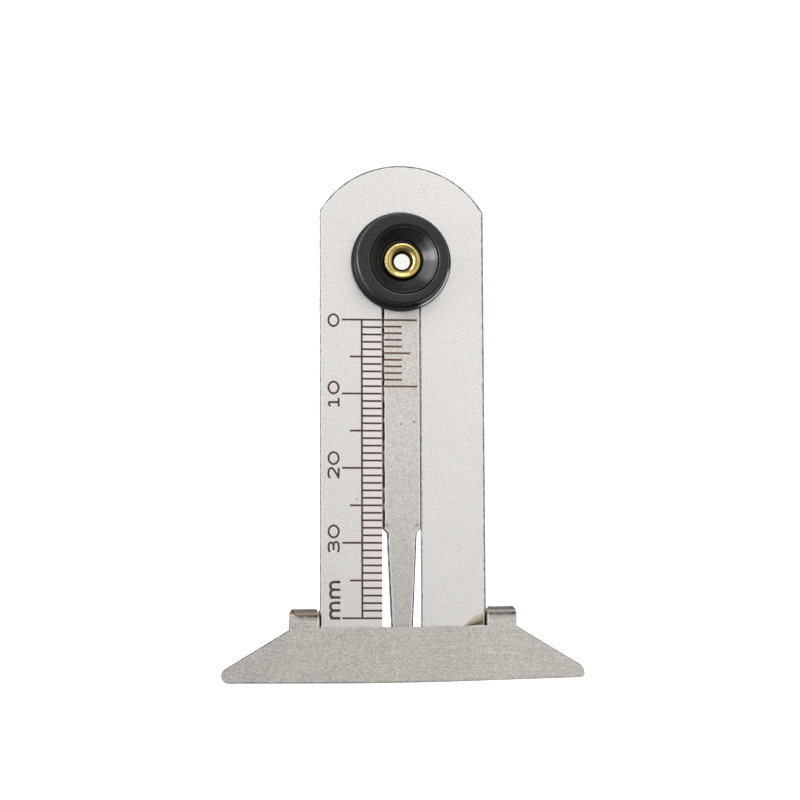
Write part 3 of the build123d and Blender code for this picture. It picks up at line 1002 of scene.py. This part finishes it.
def print_sign(name, strokes, pen_width, foot_x, left_y, material):
    """A printed sign that reads up the plate, drawn stroke by stroke as a thin film of ink."""
    x, y, z = PLATE_ORIGIN
    made = []
    for number, stroke in enumerate(strokes):
        line = [(x + foot_x - up, y + left_y + along, z) for along, up in smooth_stroke(stroke)]
        piece = start_point(f"{name}_stroke_{number}", line[0])
        draw_on(line)
        bpy.ops.object.mode_set(mode="OBJECT")
        bpy.ops.object.convert(target="CURVE")
        piece.data.bevel_depth = pen_width / 2 * MM
        piece.data.bevel_resolution = 2
        piece.data.use_fill_caps = True
        bpy.ops.object.convert(target="MESH")
        bpy.ops.object.mode_set(mode="EDIT")
        bpy.ops.mesh.select_all(action="SELECT")
        bpy.ops.transform.resize(
            value=(1, 1, INK_THICKNESS / (pen_width / 2)), center_override=(0, 0, z * MM)
        )
        bpy.ops.mesh.normals_make_consistent(inside=False)
        bpy.ops.object.mode_set(mode="OBJECT")
        made.append(bpy.context.object)
    bpy.ops.object.select_all(action="DESELECT")
    for piece in made:
        piece.select_set(True)
    bpy.context.view_layer.objects.active = made[0]
    if len(made) > 1:
        bpy.ops.object.join()
    sign = rename(bpy.context.object, name)
    bpy.ops.object.shade_smooth_by_angle(angle=math.radians(50))
    finish_piece(sign, material, "frame", "print_ink")


# Studio

def floor_finish():
    """White to the camera and in reflections, but shaded by what stands on it. Clear from below."""
    material = bpy.data.materials.new("studio_white_floor")
    material.use_nodes = True
    tree = material.node_tree
    tree.nodes.clear()
    rays = add_node(tree, "ShaderNodeLightPath")
    seen = larger(larger(rays["Is Camera Ray"], rays["Is Glossy Ray"]), rays["Is Transmission Ray"])
    matt = add_node(tree, "ShaderNodeBsdfDiffuse", Color=(0.8, 0.8, 0.8))[0]
    glow = add_node(tree, "ShaderNodeEmission", Color=(1, 1, 1), Strength=times(seen, 0.86))[0]
    lit = add_node(tree, "ShaderNodeAddShader", None, matt, glow)[0]
    clear = add_node(tree, "ShaderNodeBsdfTransparent")[0]
    below = add_node(tree, "ShaderNodeNewGeometry")["Backfacing"]
    sides = add_node(tree, "ShaderNodeMixShader", None, below, lit, clear)[0]
    add_node(tree, "ShaderNodeOutputMaterial", Surface=sides)
    return material


def lay_floor():
    """A white table top just under the rear knob's rim, which the slider clears at every reading."""
    bpy.ops.object.select_all(action="DESELECT")
    bpy.ops.mesh.primitive_plane_add(size=2.0, location=(0, 0, -FLOOR_GAP))
    floor = bpy.context.object
    floor.name = "studio_floor"
    bpy.ops.object.transform_apply(location=True, rotation=True, scale=True)
    floor.data.materials.append(floor_finish())


def light_room():
    """A room that is white to the camera. In reflections it is darker at the horizon and in front."""
    world = bpy.data.worlds.new("studio_room")
    bpy.context.scene.world = world
    world.use_nodes = True
    tree = world.node_tree
    tree.nodes.clear()
    direction = split(add_node(tree, "ShaderNodeTexCoord")["Generated"])
    rays = add_node(tree, "ShaderNodeLightPath")
    mirrored = larger(rays["Is Glossy Ray"], rays["Is Transmission Ray"])
    walls = ramp_between(direction["Z"], 0.0, 0.8, 0.45, 1.0)
    near_wall = ramp_between(direction["Y"], -0.65, 0.05, 0.1, 1.0)
    in_metal = times(mirrored, times(walls, near_wall))
    white = larger(rays["Is Camera Ray"], in_metal)
    matt = times(minus(1.0, mirrored), 0.6)
    sky = add_node(tree, "ShaderNodeBackground", Color=(1, 1, 1), Strength=larger(white, matt))
    add_node(tree, "ShaderNodeOutputWorld", Surface=sky[0])


def hang_lamp(name, place, width, height, power):
    """A softbox that looks at the middle of the gauge and is hidden from the camera."""
    data = bpy.data.lights.new(name, "AREA")
    data.shape = "RECTANGLE"
    data.size = width
    data.size_y = height
    data.energy = power
    lamp = bpy.data.objects.new(name, data)
    bpy.context.scene.collection.objects.link(lamp)
    lamp.location = place
    x, y, z = place
    lamp.rotation_euler = (math.atan2(math.hypot(x, y), z), 0, math.atan2(x, -y))
    lamp.visible_camera = False


def hold_camera_body():
    """The dark camera and its holder over the table, which bright metal and plastic show."""
    camera = bpy.context.scene.camera
    x, y, z = camera.location
    bpy.ops.object.select_all(action="DESELECT")
    bpy.ops.mesh.primitive_circle_add(
        vertices=48,
        radius=0.075,
        fill_type="NGON",
        location=(x - 0.035, y - 0.01, z + 0.01),
        rotation=camera.rotation_euler,
    )
    body = bpy.context.object
    body.name = "studio_camera_body"
    bpy.ops.object.transform_apply(location=True, rotation=True, scale=True)
    black = bpy.data.materials.new("studio_camera_black")
    black.use_nodes = True
    shader = black.node_tree.nodes["Principled BSDF"]
    set_inputs(shader, Base_Color=(0.02, 0.02, 0.02), Roughness=0.8)
    body.data.materials.append(black)
    body.visible_camera = False
    body.visible_diffuse = False


def place_camera():
    """Nearly straight above the gauge, a little towards its lower left, as in the photograph."""
    data = bpy.data.cameras.new("camera")
    data.lens = 117.86
    data.sensor_width = 36.0
    data.clip_start = 0.01
    data.clip_end = 20.0
    camera = bpy.data.objects.new("camera", data)
    bpy.context.scene.collection.objects.link(camera)
    camera.location = (-0.031819, -0.040128, 0.351006)
    camera.rotation_euler = (math.radians(7.0566), math.radians(-5.1561), math.radians(-0.2402))
    bpy.context.scene.camera = camera


place_camera()
bpy.context.scene.view_settings.view_transform = "Standard"
lay_floor()
light_room()
hold_camera_body()
hang_lamp("softbox_left", (-0.52, 0.08, 0.19), 1.15, 0.27, 4.0)
hang_lamp("softbox_left_core", (-0.5, 0.01, 0.19), 0.2, 0.25, 1.3)
hang_lamp("softbox_behind", (0.1, 0.7, 0.55), 0.5, 0.5, 1.6)

ink = ink_finish("scale_maroon_ink", INK_COLOUR)
knob_plastic = plastic_finish()
eyelet_brass = brass_finish()
dress("scale_plate", plate_finish())
dress("probe_blade", blade_finish())
dress("scale_print", ink)
dress("vernier_print", ink_finish("vernier_brown_ink", VERNIER_INK_COLOUR))

front_knob = turn_front_knob()
rear_knob = mirror_to_back(front_knob, "knob_rear_turned")
finish_piece(front_knob, knob_plastic, "slider", "knob_plastic", "front_knob")
finish_piece(rear_knob, knob_plastic, "slider", "knob_plastic", "rear_knob")
finish_piece(turn_eyelet(), eyelet_brass, "slider", "eyelet_brass", "brass_eyelet")
finish_piece(ease_foot_edges(), foot_finish(), "frame", "foot_steel", "foot_bracket")
for sign in PRINTED_SIGNS:
    print_sign(*sign, material=ink)
